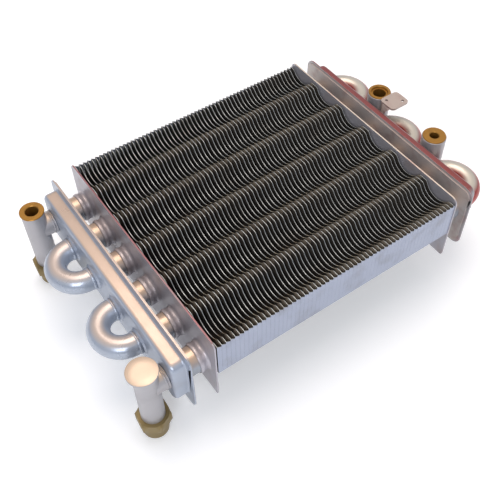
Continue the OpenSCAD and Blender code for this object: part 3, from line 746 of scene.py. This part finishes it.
for name in ("connector_left_back", "connector_left_front"):
    low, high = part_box(name)
    r = (high.y - low.y) / 2 - RING_H
    x, y = low.x + r, (low.y + high.y) / 2
    face_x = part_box("header_pan_left")[1].x - PAN_SHEET - BOX_DEPTH
    connector = bmesh.new()
    standing_tube(connector, x, y, low.z, high.z, r)
    # The neck has two swollen rings and runs into the standing tube's side
    neck = [(high.x, r - CONNECTOR_WALL), (high.x, r), (face_x - 0.05 * MM, r)]
    for start in (0.0, PORT_LEN + NECK_RING_GAP):
        neck += swollen(face_x - start, -PORT_LEN, r, RING_H, 0.6)
    end_x = x + r * NECK_END_AT
    neck += [(x + r * TAPER_AT, r - 0.05 * MM), (end_x, r - 0.1 * MM), (end_x, r - CONNECTOR_WALL)]
    pipe(connector, [(along_x(neck_x, y), X, neck_r) for neck_x, neck_r in neck], segments=48)
    connector_piece = link_piece(name + "_tube", connector, [pipe_paint])
    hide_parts(name)


# Right connectors. Wider upright tubes in the notches between the bends, on thin necks from the
# right pan. Heating water enters the pan through one and leaves through the other.
NECK_FLARE = 0.5 * MM
# Where the neck starts to widen, is at its widest and ends, as shares of the standing tube's radius
FLARE_FROM = 0.95
FLARE_FULL = 0.82
FLARE_END = 0.6
for name in ("connector_right_back", "connector_right_front"):
    low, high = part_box(name)
    r = (high.y - low.y) / 2
    x, y = high.x - r, (low.y + high.y) / 2
    connector = bmesh.new()
    standing_tube(connector, x, y, low.z, high.z, r)
    # The neck widens a little where it meets the standing tube's side
    neck = [(low.x, NECK_R - CONNECTOR_WALL), (low.x, NECK_R), (x - r * FLARE_FROM, NECK_R),
            (x - r * FLARE_FULL, NECK_R + NECK_FLARE), (x - r * FLARE_END, NECK_R + NECK_FLARE),
            (x - r * FLARE_END, NECK_R - CONNECTOR_WALL)]
    pipe(connector, [(along_x(neck_x, y), X, neck_r) for neck_x, neck_r in neck])
    connector_piece = link_piece(name + "_tube", connector, [pipe_paint])
    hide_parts(name)


# Sensor bushes. Turned brass plugs brazed into the connectors' open tops, bored for a sensor.
# The paint is worn off them, so the brass shows golden brown.
BUSH_DEPTH = 10.0 * MM
BUSH_EDGE = 0.25 * MM
SUNK_R = 6.2 * MM
# Each bush's name, the radius of its port and the depth of the sunk ring round it
BUSHES = (("sensor_bush_left", 4.4 * MM, 0.0), ("sensor_bush_right_back", 4.8 * MM, 1.6 * MM),
          ("sensor_bush_right_front", 3.3 * MM, 0.0))
brass_paint = coated_metal("turned_brass", "a57836", "6e4c22", 0.9, 0.34, metallic=0.7)
for name, port_r, sink in BUSHES:
    low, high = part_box(name)
    x, y = (low.x + high.x) / 2, (low.y + high.y) / 2
    brim_r = (high.x - low.x) / 2
    plug_r = (LEFT_R if "left" in name else RIGHT_OD / 2) - CONNECTOR_WALL
    brim_z = low.z + BUSH_DEPTH
    shape = [(low.z, port_r), (low.z, plug_r), (brim_z, plug_r), (brim_z, brim_r),
             (high.z - BUSH_EDGE, brim_r), (high.z, brim_r - BUSH_EDGE)]
    if sink:
        shape += [(high.z, SUNK_R + BUSH_EDGE), (high.z - BUSH_EDGE, SUNK_R),
                  (high.z - sink, SUNK_R - 0.2 * MM), (high.z - sink, port_r + 0.1 * MM)]
    else:
        shape += [(high.z, port_r + 0.5 * MM), (high.z - 0.5 * MM, port_r)]
    bush = bmesh.new()
    pipe(bush, [(Vector((x, y, z)), Z, r) for z, r in shape], segments=56)
    bush_piece = link_piece(name + "_turning", bush, [brass_paint])
    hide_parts(name)


# End cap. A flat disc with a flared neck closes the left front connector. It leans outwards.
cap_low, cap_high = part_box("connector_end_cap")
front_low, front_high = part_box("connector_left_front")
CAP_R = (cap_high.y - cap_low.y) / 2
CAP_TOP = 1.5 * MM
CAP_WALL = 0.3 * MM
CAP_ROUND = 0.4 * MM
CAP_STEPS = 8
# The share of a quarter circle's width that the neck's flare runs through
CAP_FLARE = 0.98
# The disc's skin closes on a ring this small at its middle
CAP_EYE = 0.02 * MM
cap_axis = Vector((front_low.x + LEFT_R, (front_low.y + front_high.y) / 2, 0))
cap_lean = cap_axis.x - (cap_low.x + CAP_R)
cone_height = cap_high.z - CAP_TOP - cap_low.z
cap = bmesh.new()
cap_shape = []
for share in [k / CAP_STEPS for k in range(CAP_STEPS + 1)]:
    flare = 1 - math.sqrt(1 - (CAP_FLARE * share) ** 2)
    centre = Vector((cap_axis.x - cap_lean * flare, cap_axis.y, cap_low.z + cone_height * share))
    cap_shape.append((centre, Z, LEFT_R + CAP_WALL + (CAP_R - LEFT_R - CAP_WALL) * flare))
disc_axis = cap_axis - X * cap_lean
for drop, r in ((CAP_TOP, CAP_R), (CAP_ROUND, CAP_R), (CAP_ROUND * 0.3, CAP_R - CAP_ROUND * 0.3),
                (0.0, CAP_R - CAP_ROUND), (0.0, CAP_R * 0.5), (0.0, CAP_EYE)):
    cap_shape.append((disc_axis + Z * (cap_high.z - drop), Z, r))
for z, r in ((front_high.z, CAP_EYE), (front_high.z, LEFT_R), (cap_low.z, LEFT_R)):
    cap_shape.append((cap_axis + Z * z, Z, r))
pipe(cap, cap_shape, segments=56)
cap_piece = link_piece("connector_end_cap_disc", cap, [pipe_paint])
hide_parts("connector_end_cap")


# Hexagon fittings. Brass nuts brazed under the connectors, each with a plain spigot that a
# clipped water pipe slides over. Cut from hexagon bar, with a chamfer round both ends.
SPIGOT_CHAMFER = 0.8 * MM
HEX_H = 8.5 * MM
HEX_EDGE = 0.9 * MM
SEAT = 5.0 * MM
# The chamfer's circle at an end face is this much wider than the flats
END_CIRCLE = 1.02
# Width across the flats, turn in degrees, and the radii of the spigot, the bore and the seat
LEFT_FITTING = (20.0 * MM, -35, 8.5 * MM, 6.0 * MM, 7.75 * MM)
RIGHT_FITTING = (25.0 * MM, 0, 10.0 * MM, 7.0 * MM, 8.8 * MM)
FITTINGS = {"hex_fitting_left_back": LEFT_FITTING, "hex_fitting_left_front": LEFT_FITTING,
            "hex_fitting_right_back": RIGHT_FITTING, "hex_fitting_right_front": RIGHT_FITTING}
hexagon_paint = coated_metal("dull_brass_bar", "8a7850", "5f5236", 0.9, 0.5, metallic=0.5)


def hexagon(across, turn, limit):
    """The radius of a hexagon at an angle, cut off by a turned chamfer at limit."""
    def radius(angle):
        corner = (angle - turn) % (math.pi / 3) - math.pi / 6
        return min(across / 2 / math.cos(corner), limit)
    return radius


for name, (across, turn, spigot_r, bore_r, seat_r) in FITTINGS.items():
    low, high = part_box(name)
    x = left_low.x + LEFT_R if "left" in name else right_high.x - RIGHT_OD / 2
    y = (low.y + high.y) / 2
    hex_low = high.z - HEX_H
    sharp = hexagon(across, math.radians(turn), across / math.cos(math.pi / 6) / 2)
    blunt = hexagon(across, math.radians(turn), across / 2 * END_CIRCLE)
    fitting = bmesh.new()
    stations = [
        (0.0, bore_r), (0.0, spigot_r - SPIGOT_CHAMFER), (SPIGOT_CHAMFER, spigot_r), (hex_low, spigot_r),
        (hex_low, blunt), (hex_low + HEX_EDGE, sharp), (high.z - HEX_EDGE, sharp), (high.z, blunt),
        (high.z, seat_r), (high.z - SEAT, seat_r), (high.z - SEAT, bore_r),
    ]
    pipe(fitting, [(Vector((x, y, z)), Z, r) for z, r in stations], segments=72)
    fitting_piece = link_piece(name + "_brass", fitting, [hexagon_paint])
    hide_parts(name)


# Sensor bracket. A strip of 1.5 mm sheet with a round-cornered pad and a leg brazed to the right
# back connector. A heat sensor is screwed to the pad's two holes.
bracket_paint = coated_metal("silver_coated_bracket", "b9aaa2", "a0817a", 0.6, 0.42)
nodes["sensor_bracket"].data.materials.clear()
nodes["sensor_bracket"].data.materials.append(bracket_paint)
